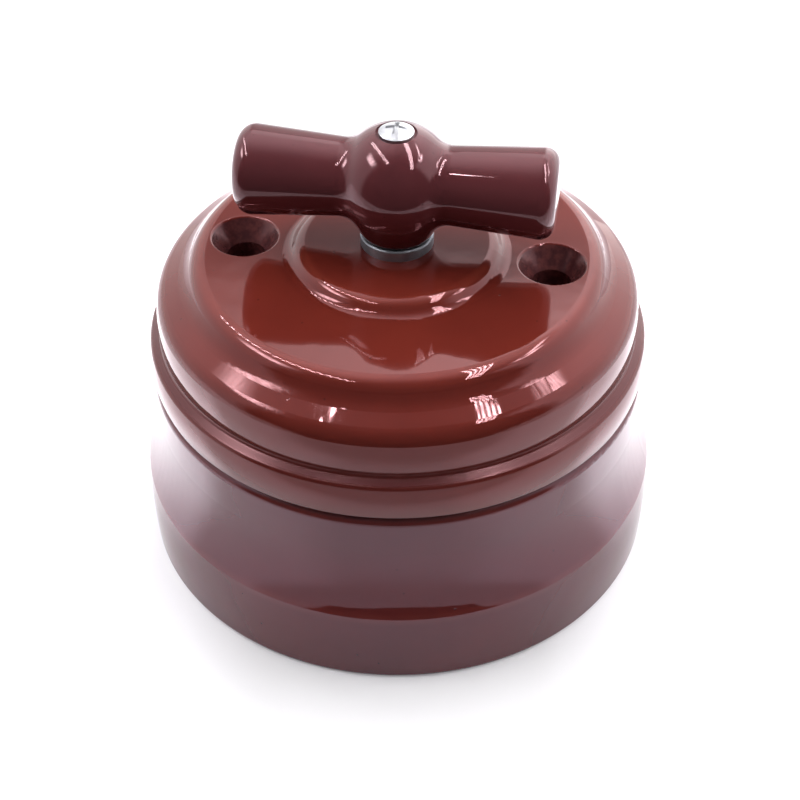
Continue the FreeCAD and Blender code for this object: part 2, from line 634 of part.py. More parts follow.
def build_block():
    body = make_body("switch_block")
    outline = [("0", "0", "block_width", "block_length")]
    extruded(body, "Pad", "block_bottom", "block_height", rectangles=outline)
    rounded(body, "block_round", upright)
    index_pocket = [("0", "0", "index_width", "index_breadth")]
    extruded(body, "Pocket", "block_top", "index_depth", rectangles=index_pocket)
    extruded(body, "Pocket", "block_bottom", "block_height - index_depth - web_height",
             circles=[("0", "0", "chamber_radius")], reverse=True)
    spring_slots = [("0", side + "spring_middle", "spring_length + 2 * spring_end_gap",
                     "spring_thickness + 2 * spring_end_gap") for side in ("", "-")]
    extruded(body, "Pocket", "block_top", "index_depth", rectangles=spring_slots)
    extruded(body, "Pocket", "index_floor", "web_height", circles=[("0", "0", "spindle_radius + fit_gap")])
    # the terminal pockets are open at the block's ends, where the wires come in
    start = "(terminal_inner - terminal_gap)"
    end = f"(block_length / 2 + {PAST})"
    pockets = [(across + "terminal_x", f"{along}({start} + {end}) / 2", "terminal_width + 2 * terminal_gap",
                f"{end} - {start}") for across, along in TERMINALS]
    extruded(body, "Pocket", "block_bottom", "terminal_rise + terminal_height + terminal_gap",
             rectangles=pockets, reverse=True)
    # the slots of the fixed contacts run from the contact chamber to the terminal pockets
    near = "(contact_tip - contact_bead_radius - contact_slot_gap)"
    slots = [(across + "contact_middle", f"{along}({near} + terminal_inner) / 2",
              "contact_thickness + 2 * contact_slot_gap", f"terminal_inner - {near}")
             for across, along in TERMINALS]
    extruded(body, "Pocket", "block_bottom", "contact_rise + contact_height + contact_slot_gap",
             rectangles=slots, reverse=True)
    strap_threads = [("0", side + "strap_screw_pitch / 2", "small_screw_radius + fit_gap")
                     for side in ("", "-")]
    extruded(body, "Pocket", "block_top", "small_screw_length", circles=strap_threads)
    guard_threads = [("0", side + "guard_screw_pitch / 2", "guard_screw_radius + fit_gap")
                     for side in ("", "-")]
    extruded(body, "Pocket", "block_bottom", "guard_screw_length", circles=guard_threads, reverse=True)
    node(body, "switch_block")


def build_terminals():
    lying = FreeCAD.Rotation(V(1, 0, 0), -90)
    screws = []
    for number, (across, along) in enumerate(TERMINALS, start=1):
        x = across + "terminal_x"
        y = along + "terminal_y"
        wire = cylinder("wire_hole_radius", f"terminal_length + 2 * {PAST}", x=x,
                        y=f"{y} - terminal_length / 2 - {PAST}", z="terminal_bottom + wire_hole_rise",
                        rotation=lying)
        tapped = cylinder("terminal_screw_radius + fit_gap", f"wire_hole_rise + {PAST}", x=x, y=y,
                          z=f"terminal_bottom - {PAST}")
        brass = block("terminal_width", "terminal_length", "terminal_height", x=x, y=y, z="terminal_bottom")
        node(cut(brass, wire, tapped), f"terminal_block_{number}")
        head_top = "terminal_bottom - terminal_head_stand"
        head = cylinder("terminal_head_radius", "terminal_head_height", x=x, y=y,
                        z=f"{head_top} - terminal_head_height")
        shank = cylinder("terminal_screw_radius", "terminal_screw_length", x=x, y=y, z=head_top)
        slot = block(f"2 * terminal_head_radius + {PAST}", "slot_width", f"slot_depth + {PAST}", x=x, y=y,
                     z=f"{head_top} - terminal_head_height - {PAST}")
        screws.append(cut(fuse(head, shank), slot))
    node(group(*screws), "terminal_screws")


def build_contacts():
    """Four brass strips from the terminal blocks to the edge of the bridge's sweep."""
    for number, (across, along) in enumerate(TERMINALS, start=1):
        strip = block("contact_thickness", "terminal_inner - contact_tip", "contact_height",
                      x=across + "contact_middle", y=f"{along}(terminal_inner + contact_tip) / 2",
                      z="contact_bottom")
        bead = cylinder("contact_bead_radius", "contact_height",
                        x=f"{across}(contact_offset + contact_bead_radius)", y=along + "contact_tip",
                        z="contact_bottom")
        node(fuse(strip, bead), f"fixed_contact_{number}")


def build_guard():
    """Fibre plate that closes the contact chamber, with its two screws."""
    disc = cylinder("guard_radius", "guard_height", z="guard_bottom")
    ears = [block("guard_ear_width", "guard_screw_pitch", "guard_height", z="guard_bottom")]
    holes = [through("guard_hole_radius", "guard_bottom", "guard_height")]
    screws = []
    for side in ("", "-"):
        y = side + "guard_screw_pitch / 2"
        ears.append(cylinder("guard_ear_width / 2", "guard_height", y=y, z="guard_bottom"))
        holes.append(through("guard_screw_radius + screw_hole_gap", "guard_bottom", "guard_height", y=y))
        head = cylinder("guard_head_radius", "guard_head_height", y=y, z="guard_bottom - guard_head_height")
        shank = cylinder("guard_screw_radius", "guard_screw_length", y=y, z="guard_bottom")
        slot = block(f"2 * guard_head_radius + {PAST}", "slot_width", f"slot_depth + {PAST}", y=y,
                     z=f"guard_bottom - guard_head_height - {PAST}")
        screws.append(cut(fuse(head, shank), slot))
    node(cut(fuse(disc, *ears), *holes), "contact_guard")
    node(group(*screws), "guard_screws")


def build_springs():
    """Two straight leaf springs that press on the flats of the index cam."""
    for label, side in (("leaf_spring_left", "-"), ("leaf_spring_right", "")):
        strip = block("spring_length", "spring_thickness", "spring_height", y=side + "spring_middle",
                      z="cam_bottom + (cam_height - spring_height) / 2")
        node(strip, label)


# Turning parts: spindle, index cam, contact rotor, bridge, clip, knob and its screw

def build_spindle():
    body = make_body("spindle")
    bar = [("0", "0", "spindle_square", "spindle_square")]
    extruded(body, "Pad", "rotor_bottom", "spindle_top - rotor_bottom", rectangles=bar)
    extruded(body, "Pad", "cam_top", "nut_top - cam_top", circles=[("0", "0", "spindle_radius")])
    extruded(body, "Pad", "rotor_bottom - stub_length", f"stub_length + {PAST}",
             circles=[("0", "0", "stub_radius")])
    extruded(body, "Pocket", "spindle_top", "spindle_top - screw_tip + screw_tip_gap",
             circles=[("0", "0", "screw_radius + fit_gap")])
    node(body, "spindle")


def build_cam():
    body = make_body("index_cam")
    extruded(body, "Pad", "cam_bottom", "cam_height", rectangles=[("0", "0", "cam_width", "cam_width")])
    rounded(body, "cam_round", upright)
    extruded(body, "Pocket", "cam_top", "cam_height", rectangles=[("0", "0", "square_hole", "square_hole")])
    node(body, "index_cam")


def square_bore(z, height):
    """Tool for the square hole that takes the spindle, through a thickness that starts at z."""
    return block("square_hole", "square_hole", f"{height} + 2 * {PAST}", z=f"{z} - {PAST}")


def build_rotor():
    """Drum that carries the bridging contact in a channel across its lower face."""
    depth = f"bridge_rise + bridge_height + {PAST}"
    channel = block(f"2 * rotor_radius + {PAST}", "bridge_width + 2 * square_gap", depth,
                    z=f"rotor_bottom - {PAST}")
    hub_room = cylinder("bridge_hub_radius + square_gap", depth, z=f"rotor_bottom - {PAST}")
    drum = cylinder("rotor_radius", "rotor_height", z="rotor_bottom")
    node(cut(drum, channel, hub_room, square_bore("rotor_bottom", "rotor_height")), "contact_rotor")


def build_bridge():
    """Bridging contact: two blades and a round middle, stamped from one strip."""
    blades = doc.addObject("Part::Common", "Common")
    blades.Base = block(f"2 * bridge_reach + {PAST}", "bridge_width", "bridge_height", z="bridge_bottom")
    blades.Tool = cylinder("bridge_reach", "bridge_height", z="bridge_bottom")
    whole = fuse(blades, cylinder("bridge_hub_radius", "bridge_height", z="bridge_bottom"))
    node(cut(whole, square_bore("bridge_bottom", "bridge_height")), "bridge_contact")


def build_clip():
    """Open ring on the spindle's stub that holds the rotor."""
    mouth = block("clip_mouth", f"clip_radius + {PAST}", f"clip_height + 2 * {PAST}",
                  y=f"(clip_radius + {PAST}) / 2", z=f"clip_bottom - {PAST}")
    disc = cylinder("clip_radius", "clip_height", z="clip_bottom")
    node(cut(disc, through("stub_radius + fit_gap", "clip_bottom", "clip_height"), mouth), "retaining_clip")


def arm_root_edge(edge):
    """Test for an edge on the skin of an arm, near the hub."""
    if edge.Degenerated:
        return False
    middle = edge.valueAt((edge.FirstParameter + edge.LastParameter) / 2)
    along = abs(middle.x)
    root, end = value("arm_root"), value("knob_length / 2 - arm_end_crown")
    slope = (value("arm_end_radius") - value("arm_root_radius")) / (end - root)
    skin = value("arm_root_radius") + slope * (along - root)
    out = math.hypot(middle.y, middle.z - value("knob_axis"))
    return abs(out - skin) < 1e-3 and abs(along - root) < value("arm_root_radius") / 2


def build_knob():
    body = make_body("knob")
    half = "(knob_length / 2)"
    # an end that bulges by its crown in the middle has lost a quarter of it half way out
    near_end = f"({half} - arm_end_crown / 4)"
    edge = f"({half} - arm_end_crown)"
    # half outline of the bar and hub, turned about the line that closes it
    sketch = new_sketch(body, "XZ_Plane", 0)
    outline = [
        (f"-{half}", "knob_axis", f"-{near_end}", "knob_axis + arm_end_radius / 2"),
        (f"-{edge}", "knob_axis + arm_end_radius"),
        ("-arm_root", "knob_axis + arm_root_radius", "0", "knob_axis + hub_radius"),
        ("arm_root", "knob_axis + arm_root_radius"),
        (edge, "knob_axis + arm_end_radius", near_end, "knob_axis + arm_end_radius / 2"),
        (half, "knob_axis"),
    ]
    add_outline(sketch, outline)
    axis = len(outline) - 1
    turn = body.newObject("PartDesign::Revolution", "Revolution")
    turn.Profile = sketch
    turn.ReferenceAxis = (sketch, [f"Edge{axis + 1}"])
    turn.Angle = 360
    doc.recompute()
    rounded(body, "arm_end_round", bar_ring("arm_end_radius"))
    # the neck is a cone that touches the hub all round
    turned(body, [
        ("0", "knob_bottom"),
        ("neck_radius", "knob_bottom"),
        ("neck_top_radius", "neck_top"),
        ("0", "neck_top"),
    ])
    rounded(body, "arm_blend", arm_root_edge)
    rounded(body, "neck_round", ring("neck_radius", "knob_bottom"))
    extruded(body, "Pocket", f"knob_bottom - {PAST}", f"socket_depth + {PAST}",
             rectangles=[("0", "0", "square_hole", "square_hole")], reverse=True)
    extruded(body, "Pocket", "hub_top", "screw_seat_drop", circles=[("0", "0", "screw_seat_radius")])
    extruded(body, "Pocket", "hub_top", f"hub_top - socket_top + {PAST}",
             circles=[("0", "0", "screw_radius + screw_gap")])
    node(body, "knob")


def build_knob_screw():
    body = make_body("knob_screw")
    turned(body, [
        ("0", "screw_tip"),
        ("screw_radius", "screw_tip"),
        ("screw_radius", "screw_seat"),
        ("screw_head_radius", "screw_seat"),
        ("screw_head_radius", "screw_seat + screw_head_edge", "screw_head_radius / 2",
         "screw_seat + screw_head_height - dome_radius + sqrt(dome_radius^2 - screw_head_radius^2 / 4)"),
        ("0", "screw_seat + screw_head_height"),
    ])
    for width, length in (("cross_length", "cross_width"), ("cross_width", "cross_length")):
        extruded(body, "Pocket", f"screw_seat + screw_head_height + {PAST}", f"cross_depth + {PAST}",
                 rectangles=[("0", "0", width, length)])
    node(body, "knob_screw")


build_base()
build_cover()
build_bush_parts()
build_strap()
build_block()
build_terminals()
build_contacts()
build_guard()
build_springs()
build_spindle()
build_cam()
build_rotor()
build_bridge()
build_clip()
build_knob()
build_knob_screw()
doc.recompute()

# Every object has to be sound before anything is written
for item in doc.Objects:
    if {"Invalid", "Error"} & set(item.State):
        raise RuntimeError(f"{item.Name} ({item.Label}) failed: {item.State}")
for item in NODES:
    if item.Shape.isNull() or not item.Shape.isValid() or not item.Shape.Solids:
        raise RuntimeError(f"{item.Label} has no sound shape")

os.makedirs("parts", exist_ok=True)
for item in NODES:
    item.Shape.exportStep(os.path.join("parts", item.Label + ".step"))
    box = item.Shape.optimalBoundingBox()
    print(f"{item.Label}: {len(item.Shape.Solids)} solid(s), {item.Shape.Volume:.1f} mm3, "
          f"z {box.ZMin:.2f} to {box.ZMax:.2f}")
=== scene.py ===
import math
import bpy
from mathutils import Matrix, Vector

# Looks of a glazed porcelain rotary switch, in metres

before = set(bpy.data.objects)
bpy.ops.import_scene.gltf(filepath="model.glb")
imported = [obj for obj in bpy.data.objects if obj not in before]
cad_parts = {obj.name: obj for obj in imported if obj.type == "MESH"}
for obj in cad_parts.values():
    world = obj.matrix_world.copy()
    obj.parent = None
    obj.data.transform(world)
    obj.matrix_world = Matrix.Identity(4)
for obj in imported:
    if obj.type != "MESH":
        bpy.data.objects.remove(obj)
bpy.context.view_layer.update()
MM = 0.001

# Camera: 1700 px of focal length in an 800 px frame, and where it stood
SENSOR = 36.0
LENS = 76.5
CLIP_START = 0.01
CAMERA_DISTANCE = 235.36 * MM
CAMERA_AZIMUTH = math.radians(9.24)
CAMERA_ELEVATION = math.radians(41.354)
CAMERA_ROLL = -0.0059
AIM_RIGHT = 0.257 * MM
AIM_HEIGHT = 17.34 * MM

# Level directions towards the camera and to its right, and upwards
FRONT = Vector((math.sin(CAMERA_AZIMUTH), -math.cos(CAMERA_AZIMUTH), 0))
RIGHT = Vector((math.cos(CAMERA_AZIMUTH), math.sin(CAMERA_AZIMUTH), 0))
UP = Vector((0, 0, 1))


def colour(red, green, blue):
    return (red, green, blue, 1.0)


WHITE = colour(1.0, 1.0, 1.0)


class Graph:
    """Node tree with short ways to add and link nodes."""

    def __init__(self, tree):
        self.tree = tree
        tree.nodes.clear()

    def add(self, kind, inputs=None, **settings):
        """New node; inputs maps a socket's name or number to a value or to another node's output."""
        made = self.tree.nodes.new("ShaderNode" + kind)
        for name, setting in settings.items():
            setattr(made, name, setting)
        for key, given in (inputs or {}).items():
            if isinstance(given, bpy.types.NodeSocket):
                self.tree.links.new(given, made.inputs[key])
            else:
                made.inputs[key].default_value = given
        return made

    def finish(self, kind, shader):
        """Show a shader on a material, world or light."""
        self.add("Output" + kind, {"Surface": shader.outputs[0]})

    def math(self, operation, *values):
        made = self.add("Math", dict(enumerate(values)), operation=operation)
        return made.outputs[0]

    def times(self, product, *factors):
        for factor in factors:
            product = self.math("MULTIPLY", product, factor)
        return product

    def plus(self, total, *terms):
        for term in terms:
            total = self.math("ADD", total, term)
        return total

    def hypotenuse(self, first, second):
        return self.math("SQRT", self.plus(self.times(first, first), self.times(second, second)))

    def along(self, place, axis):
        """How far a place or direction reaches along an axis."""
        made = self.add("VectorMath", {0: place, 1: axis}, operation="DOT_PRODUCT")
        return made.outputs["Value"]

    def stretch(self, place, scale, turn=(0.0, 0.0, 0.0)):
        made = self.add("Mapping", {"Vector": place, "Rotation": turn, "Scale": scale})
        return made.outputs[0]

    def noise(self, place, scale, detail, roughness=0.5, distortion=0.0):
        made = self.add("TexNoise", {"Vector": place, "Scale": scale, "Detail": detail,
                                     "Roughness": roughness, "Distortion": distortion})
        return made.outputs["Fac"]

    def ramp(self, value, low, high, start=0.0, end=1.0):
        """Value stretched smoothly so that low gives start and high gives end."""
        made = self.add("MapRange", {"Value": value, "From Min": low, "From Max": high,
                                     "To Min": start, "To Max": end}, interpolation_type="SMOOTHSTEP")
        return made.outputs["Result"]

    def ramp_mm(self, length, low, high, start=0.0, end=1.0):
        """Ramp whose low and high are in millimetres."""
        return self.ramp(length, low * MM, high * MM, start, end)

    def mix(self, factor, first, second):
        """Mix of two colours."""
        made = self.add("Mix", {0: factor, 6: first, 7: second}, data_type="RGBA")
        return made.outputs[2]

    def mix_levels(self, factor, first, second):
        made = self.add("Mix", {0: factor, 2: first, 3: second}, data_type="FLOAT")
        return made.outputs[0]


def new_material(name):
    """Material, its graph and the place on the object."""
    material = bpy.data.materials.new(name)
    material.use_nodes = True
    graph = Graph(material.node_tree)
    return material, graph, graph.add("TexCoord").outputs["Object"]


def finish_surface(graph, tint, roughness, relief, relief_height, others=None):
    """Surface with a relief whose height is given in millimetres."""
    bump = graph.add("Bump", {"Strength": 1.0, "Distance": relief_height * MM, "Height": relief})
    inputs = {"Base Color": tint, "Roughness": roughness, "Normal": bump.outputs[0]}
    graph.finish("Material", graph.add("BsdfPrincipled", {**inputs, **(others or {})}))


def radius_and_top(name):
    """Widest radius about the spindle and greatest height of a piece, in millimetres."""
    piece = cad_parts[name]
    points = [piece.matrix_world @ vertex.co for vertex in piece.data.vertices]
    return max(point.xy.length for point in points) / MM, max(point.z for point in points) / MM


# Radii and heights in millimetres, and how far the fixing holes are from the spindle
FOOT_RADIUS, SEAM_HEIGHT = radius_and_top("base")
BEAD_RADIUS, BOSS_TOP = radius_and_top("cover")
PLATE_TOP = BOSS_TOP - 1.5
FIXING_X = 20.0

# Circles about the spindle where the glaze differs or shade is painted: radius, height and reach in
# millimetres
BOSS_EDGE = (BEAD_RADIUS - 20.42, BOSS_TOP, 1.4)
BOSS_FOOT = (BEAD_RADIUS - 18.52, PLATE_TOP, 1.4)
PLATE_EDGE = (BEAD_RADIUS - 7.62, PLATE_TOP - 0.1, 1.1)
COVE = (BEAD_RADIUS - 5.72, PLATE_TOP - 1.8, 2.0)
CROWN_WALL = (BEAD_RADIUS - 2.12, SEAM_HEIGHT + 11.3, 3.0)
GROOVE_WALL = (BEAD_RADIUS - 1.52, SEAM_HEIGHT + 6.0, 1.2)
# the groove circle carries painted shade
GROOVE_SHADE = (BEAD_RADIUS - 1.02, SEAM_HEIGHT + 5.6, 1.7)
# the next two circles carry the painted shadow of the joint between cover and base
COVER_EDGE_SHADE = (BEAD_RADIUS - 0.32, SEAM_HEIGHT - 0.2, 0.9)
BASE_EDGE_SHADE = (BEAD_RADIUS - 0.42, SEAM_HEIGHT + 0.2, 1.1)
BASE_RIM = (BEAD_RADIUS - 0.42, SEAM_HEIGHT - 0.2, 1.2)
FLARE_FOOT = (FOOT_RADIUS - 0.95, 13.2, 2.4)
FOOT_SHOULDER = (FOOT_RADIUS - 0.15, 11.0, 1.2)

# Glaze. Noises are given as size per metre, detail and roughness, and ramps as low, high, start and end
GLAZE_IOR = 1.56
GLAZE_SPECULAR = 0.62
GLAZE_RELIEF = 0.022

CLOUDS = (55.0, 3.0)
CLOUD_RAMP = (0.3, 0.7)
POOL_SHARE = 0.6
WEAR = (140.0, 4.0)
WEAR_RAMP = (0.2, 0.8, 0.2, 0.7)
SMEARS = (90.0, 5.0, 0.6)
SMEAR_ROUGHNESS = (0.35, 0.75, 0.028, 0.07)
PEEL = (230.0, 1.5)
WAVES = (75.0, 0.5)
WAVE_RELIEF = 3.6

SPECK_SCALE = 620.0
SPECK_RAMP = (0.13, 0.06)
SPECK_PLACES = (300.0, 1.0)
SPECK_PLACES_RAMP = (0.6, 0.66)
SPECK_TINT = colour(0.02, 0.006, 0.004)
SPECK_SHARE = 0.5
SPECK_RELIEF = -0.4

# Painted shadow in the joint between cover and base: its tint, its share, and the roughness added there
SEAM_SHADE_TINT = colour(0.016, 0.006, 0.008)
SEAM_SHADE_SHARE = 0.9
SEAM_ROUGHNESS = 0.35
# Painted shade at the bottom of the groove: its tint, its share, and the roughness added there
GROOVE_SHADE_TINT = colour(0.045, 0.007, 0.007)
GROOVE_SHADE_SHARE = 0.8
GROOVE_ROUGHNESS = 0.27

# Countersinks: where their rims and tops begin, in millimetres, and how they look
SINK_RIM = (4.5, 4.25)
SINK_TOP = (PLATE_TOP - 0.05, PLATE_TOP - 0.3)
SINK_LUMPS = (900.0, 3.0, 0.6)
SINK_LUMP_RAMP = (0.35, 0.7)
SINK_TINTS = (colour(0.040, 0.013, 0.016), colour(0.095, 0.028, 0.028))
SINK_SHARE = 0.85
SINK_ROUGHNESS = 0.22
SINK_RELIEF = 2.5

# Bare clay under the foot ring, with its height in millimetres
CLAY_FACING = (-0.8, -0.95)
CLAY_HEIGHT = (1.2, 0.9)
CLAY_GRAIN = (900.0, 3.0)
CLAY_TINTS = (colour(0.66, 0.6, 0.52), colour(0.5, 0.43, 0.36))
CLAY_ROUGHNESS = 0.6


def ring_mask(graph, radius, height, circles):
    """Strength near circles about the spindle, each given as radius, height and reach in millimetres."""
    strength = 0.0
    for circle_radius, circle_height, reach in circles:
        outwards = graph.math("SUBTRACT", radius, circle_radius * MM)
        upwards = graph.math("SUBTRACT", height, circle_height * MM)
        near = graph.ramp_mm(graph.hypotenuse(outwards, upwards), reach, 0.0)
        strength = graph.math("MAXIMUM", strength, near)
    return strength


def sink_mask(graph, parts):
    """Strength inside the two countersinks."""
    outwards = graph.math("SUBTRACT", graph.math("ABSOLUTE", parts["X"]), FIXING_X * MM)
    inside = graph.ramp_mm(graph.hypotenuse(outwards, parts["Y"]), *SINK_RIM)
    return graph.times(inside, graph.ramp_mm(parts["Z"], *SINK_TOP))


def clay_mask(graph, parts):
    """Strength on low faces that look down."""
    normal = graph.add("SeparateXYZ", {0: graph.add("NewGeometry").outputs["Normal"]})
    facing = graph.ramp(normal.outputs["Z"], *CLAY_FACING)
    return graph.times(facing, graph.ramp_mm(parts["Z"], *CLAY_HEIGHT))


def glaze(name, body, deep, thin, sheen, crests=(), hollows=(), shaded_seam=(), shaded_groove=(),
          countersunk=False, bare_foot=False):
    """Glossy glaze: deeper in hollows, thinner on crests, with a faint orange peel and specks, and painted
    shade at the joint and in the groove.
    """
    material, graph, place = new_material(name)
    parts = graph.add("SeparateXYZ", {0: place}).outputs
    height = parts["Z"]
    radius = graph.hypotenuse(parts["X"], parts["Y"])

    clouds = graph.ramp(graph.noise(place, *CLOUDS), *CLOUD_RAMP)
    tint = graph.mix(clouds, body, deep)
    pooled = graph.times(ring_mask(graph, radius, height, hollows), POOL_SHARE)
    tint = graph.mix(pooled, tint, deep)
    # painted shade: the joint between cover and base is darkened nearly to black for the shadow in its gap,
    # and in part for its bare edges
    seam_shade_mask = ring_mask(graph, radius, height, shaded_seam)
    tint = graph.mix(graph.times(seam_shade_mask, SEAM_SHADE_SHARE), tint, SEAM_SHADE_TINT)
    patchy = graph.ramp(graph.noise(place, *WEAR), *WEAR_RAMP)
    tint = graph.mix(graph.times(ring_mask(graph, radius, height, crests), patchy), tint, thin)
    cells = graph.add("TexVoronoi", {"Vector": place, "Scale": SPECK_SCALE}).outputs["Distance"]
    sparse = graph.ramp(graph.noise(place, *SPECK_PLACES), *SPECK_PLACES_RAMP)
    specks = graph.times(graph.ramp(cells, *SPECK_RAMP), sparse)
    tint = graph.mix(graph.times(specks, SPECK_SHARE), tint, SPECK_TINT)

    waves = graph.times(graph.noise(place, *WAVES), WAVE_RELIEF)
    relief = graph.plus(waves, graph.noise(place, *PEEL), graph.times(specks, SPECK_RELIEF))
    smears = graph.ramp(graph.noise(place, *SMEARS), *SMEAR_ROUGHNESS)
    roughness = graph.plus(smears, graph.times(seam_shade_mask, SEAM_ROUGHNESS))
    # painted shade: the bottom of the groove is darkened and made a little duller
    groove_shade_mask = ring_mask(graph, radius, height, shaded_groove)
    tint = graph.mix(graph.times(groove_shade_mask, GROOVE_SHADE_SHARE), tint, GROOVE_SHADE_TINT)
    roughness = graph.math("MULTIPLY_ADD", groove_shade_mask, GROOVE_ROUGHNESS, roughness)

    if countersunk:
        # the countersinks are darker, rougher and lumpy
        sunk = sink_mask(graph, parts)
        lumps = graph.noise(place, *SINK_LUMPS)
        sink_tone = graph.mix(graph.ramp(lumps, *SINK_LUMP_RAMP), *SINK_TINTS)
        tint = graph.mix(graph.times(sunk, SINK_SHARE), tint, sink_tone)
        roughness = graph.plus(roughness, graph.times(sunk, SINK_ROUGHNESS))
        relief = graph.plus(relief, graph.times(sunk, lumps, SINK_RELIEF))
    if bare_foot:
        bare = clay_mask(graph, parts)
        clay = graph.mix(graph.noise(place, *CLAY_GRAIN), *CLAY_TINTS)
        tint = graph.mix(bare, tint, clay)
        roughness = graph.plus(roughness, graph.times(bare, CLAY_ROUGHNESS))

    finish_surface(graph, tint, roughness, relief, GLAZE_RELIEF,
                   {"IOR": GLAZE_IOR, "Specular IOR Level": GLAZE_SPECULAR, "Specular Tint": sheen})
    return material


# Metals and insulators

METAL_CLOUDS = (260.0, 4.0)
METAL_CLOUD_RAMP = (0.3, 0.7)
METAL_MARKS = (4.0, 0.65)
METAL_MARK_RANGE = (0.25, 0.75)
METAL_SMOOTHER = 0.06
METAL_ROUGHER = 0.1
METAL_RELIEF = 0.01

FIBRE_STRETCH = (1.0, 5.0, 5.0)
FIBRE_STRANDS = (500.0, 5.0, 0.7)
FIBRE_TINTS = (colour(0.22, 0.06, 0.035), colour(0.36, 0.13, 0.08))
FIBRE_ROUGHNESS = 0.72
FIBRE_RELIEF = 0.03

PHENOLIC_FLOW = (160.0, 5.0, 0.6, 0.8)
PHENOLIC_FLOW_RAMP = (0.3, 0.7)
PHENOLIC_TINTS = (colour(0.018, 0.011, 0.009), colour(0.05, 0.03, 0.022))
PHENOLIC_ROUGHNESS = (0.2, 0.8, 0.28, 0.42)
PHENOLIC_GRAIN = (700.0, 3.0)
PHENOLIC_RELIEF = 0.015


def metal(name, light, dark, roughness, grain_scale, grain_stretch=(1.0, 1.0, 1.0), relief=METAL_RELIEF):
    """Metal with cloudy tone and fine marks."""
    material, graph, place = new_material(name)
    marks = graph.noise(graph.stretch(place, grain_stretch), grain_scale, *METAL_MARKS)
    tint = graph.mix(graph.ramp(graph.noise(place, *METAL_CLOUDS), *METAL_CLOUD_RAMP), light, dark)
    rough = graph.ramp(marks, *METAL_MARK_RANGE, roughness - METAL_SMOOTHER, roughness + METAL_ROUGHER)
    finish_surface(graph, tint, rough, marks, relief, {"Metallic": 1.0})
    return material


def fibre():
    material, graph, place = new_material("vulcanised_fibre")
    strands = graph.noise(graph.stretch(place, FIBRE_STRETCH), *FIBRE_STRANDS)
    finish_surface(graph, graph.mix(strands, *FIBRE_TINTS), FIBRE_ROUGHNESS, strands, FIBRE_RELIEF)
    return material


def phenolic():
    material, graph, place = new_material("phenolic")
    flow = graph.noise(place, *PHENOLIC_FLOW)
    tint = graph.mix(graph.ramp(flow, *PHENOLIC_FLOW_RAMP), *PHENOLIC_TINTS)
    rough = graph.ramp(flow, *PHENOLIC_ROUGHNESS)
    finish_surface(graph, tint, rough, graph.noise(place, *PHENOLIC_GRAIN), PHENOLIC_RELIEF)
    return material


cover_glaze = glaze(
    "cover_glaze",
    body=colour(0.113, 0.0155, 0.0100),
    deep=colour(0.093, 0.0126, 0.0086),
    thin=colour(0.16, 0.027, 0.017),
    sheen=colour(1.0, 0.52, 0.56),
    crests=[PLATE_EDGE, BOSS_EDGE],
    hollows=[GROOVE_WALL, CROWN_WALL, COVE, BOSS_FOOT],
    shaded_seam=[COVER_EDGE_SHADE],
    shaded_groove=[GROOVE_SHADE],
    countersunk=True)
base_glaze = glaze(
    "base_glaze",
    body=colour(0.100, 0.0140, 0.0118),
    deep=colour(0.082, 0.0116, 0.0100),
    thin=colour(0.130, 0.0240, 0.0190),
    sheen=colour(0.84, 0.64, 0.78),
    crests=[FOOT_SHOULDER, BASE_RIM],
    hollows=[FLARE_FOOT],
    shaded_seam=[BASE_EDGE_SHADE],
    bare_foot=True)
knob_glaze = glaze(
    "knob_glaze",
    body=colour(0.088, 0.0190, 0.0220),
    deep=colour(0.070, 0.0155, 0.0185),
    thin=colour(0.088, 0.0190, 0.0220),
    sheen=colour(1.0, 0.62, 0.68))
ring_metal = metal("plated_ring", colour(0.42, 0.44, 0.48), colour(0.30, 0.32, 0.36), 0.5, 700.0)
screw_metal = metal("plated_screw", colour(0.9, 0.9, 0.92), colour(0.44, 0.44, 0.47), 0.38, 1000.0,
                    relief=0.12)
brass = metal("brass", colour(0.83, 0.61, 0.27), colour(0.62, 0.42, 0.17), 0.3, 800.0)
steel = metal("zinc_steel", colour(0.62, 0.62, 0.64), colour(0.45, 0.45, 0.47), 0.34, 600.0,
              grain_stretch=(1.0, 6.0, 6.0))
spring_steel = metal("spring_steel", colour(0.5, 0.51, 0.54), colour(0.34, 0.35, 0.38), 0.25, 600.0,
                     grain_stretch=(0.3, 1.0, 6.0))
fibre_material = fibre()
phenolic_material = phenolic()

LOOKS = {"base": base_glaze, "cover": cover_glaze, "knob": knob_glaze, "ring_nut": ring_metal,
         "knob_screw": screw_metal, "threaded_bush": brass, "bridge_contact": brass,
         "mounting_strap": steel, "strap_screws": steel, "terminal_screws": steel, "guard_screws": steel,
         "spindle": steel, "retaining_clip": spring_steel, "leaf_spring_left": spring_steel,
         "leaf_spring_right": spring_steel, "fibre_washer": fibre_material,
         "contact_guard": fibre_material, "switch_block": phenolic_material,
         "contact_rotor": phenolic_material, "index_cam": phenolic_material}
for number in range(1, 5):
    LOOKS[f"terminal_block_{number}"] = brass
    LOOKS[f"fixed_contact_{number}"] = brass

for name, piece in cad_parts.items():
    piece.data.materials.clear()
    piece.data.materials.append(LOOKS[name])


# Table: a pale sheet that ends a hand's breadth in front of the switch, with light and shadow painted into
# its glow

TABLE_FRONT = 121 * MM
TABLE_BACK = 700 * MM
TABLE_SIDE = 600 * MM
TABLE_DROP = 0.02 * MM
TABLE_PAPER = colour(0.55, 0.55, 0.555)
TABLE_GLOW = colour(1.0, 0.96, 1.04)

# How bright the sheet's painted glow is, as ramps between two distances from the switch in millimetres:
# painted shadow near the switch, painted light at its sides
GLOW_PAINTED_SHADOW = (36, 56, 0.2, 0.42)
GLOW_CLOSE_SIDES = (16, 34, 0.0, 0.24)
GLOW_SIDES_START = (33, 50, 0.0, 1.25)
GLOW_SIDES_END = (62, 95, 1.0, 0.15)
GLOW_SIDES_FRONT = (26, 12)
GLOW_FRONT_END = (76, 56)
GLOW_AHEAD = (56, 76, 0.0, 0.45)


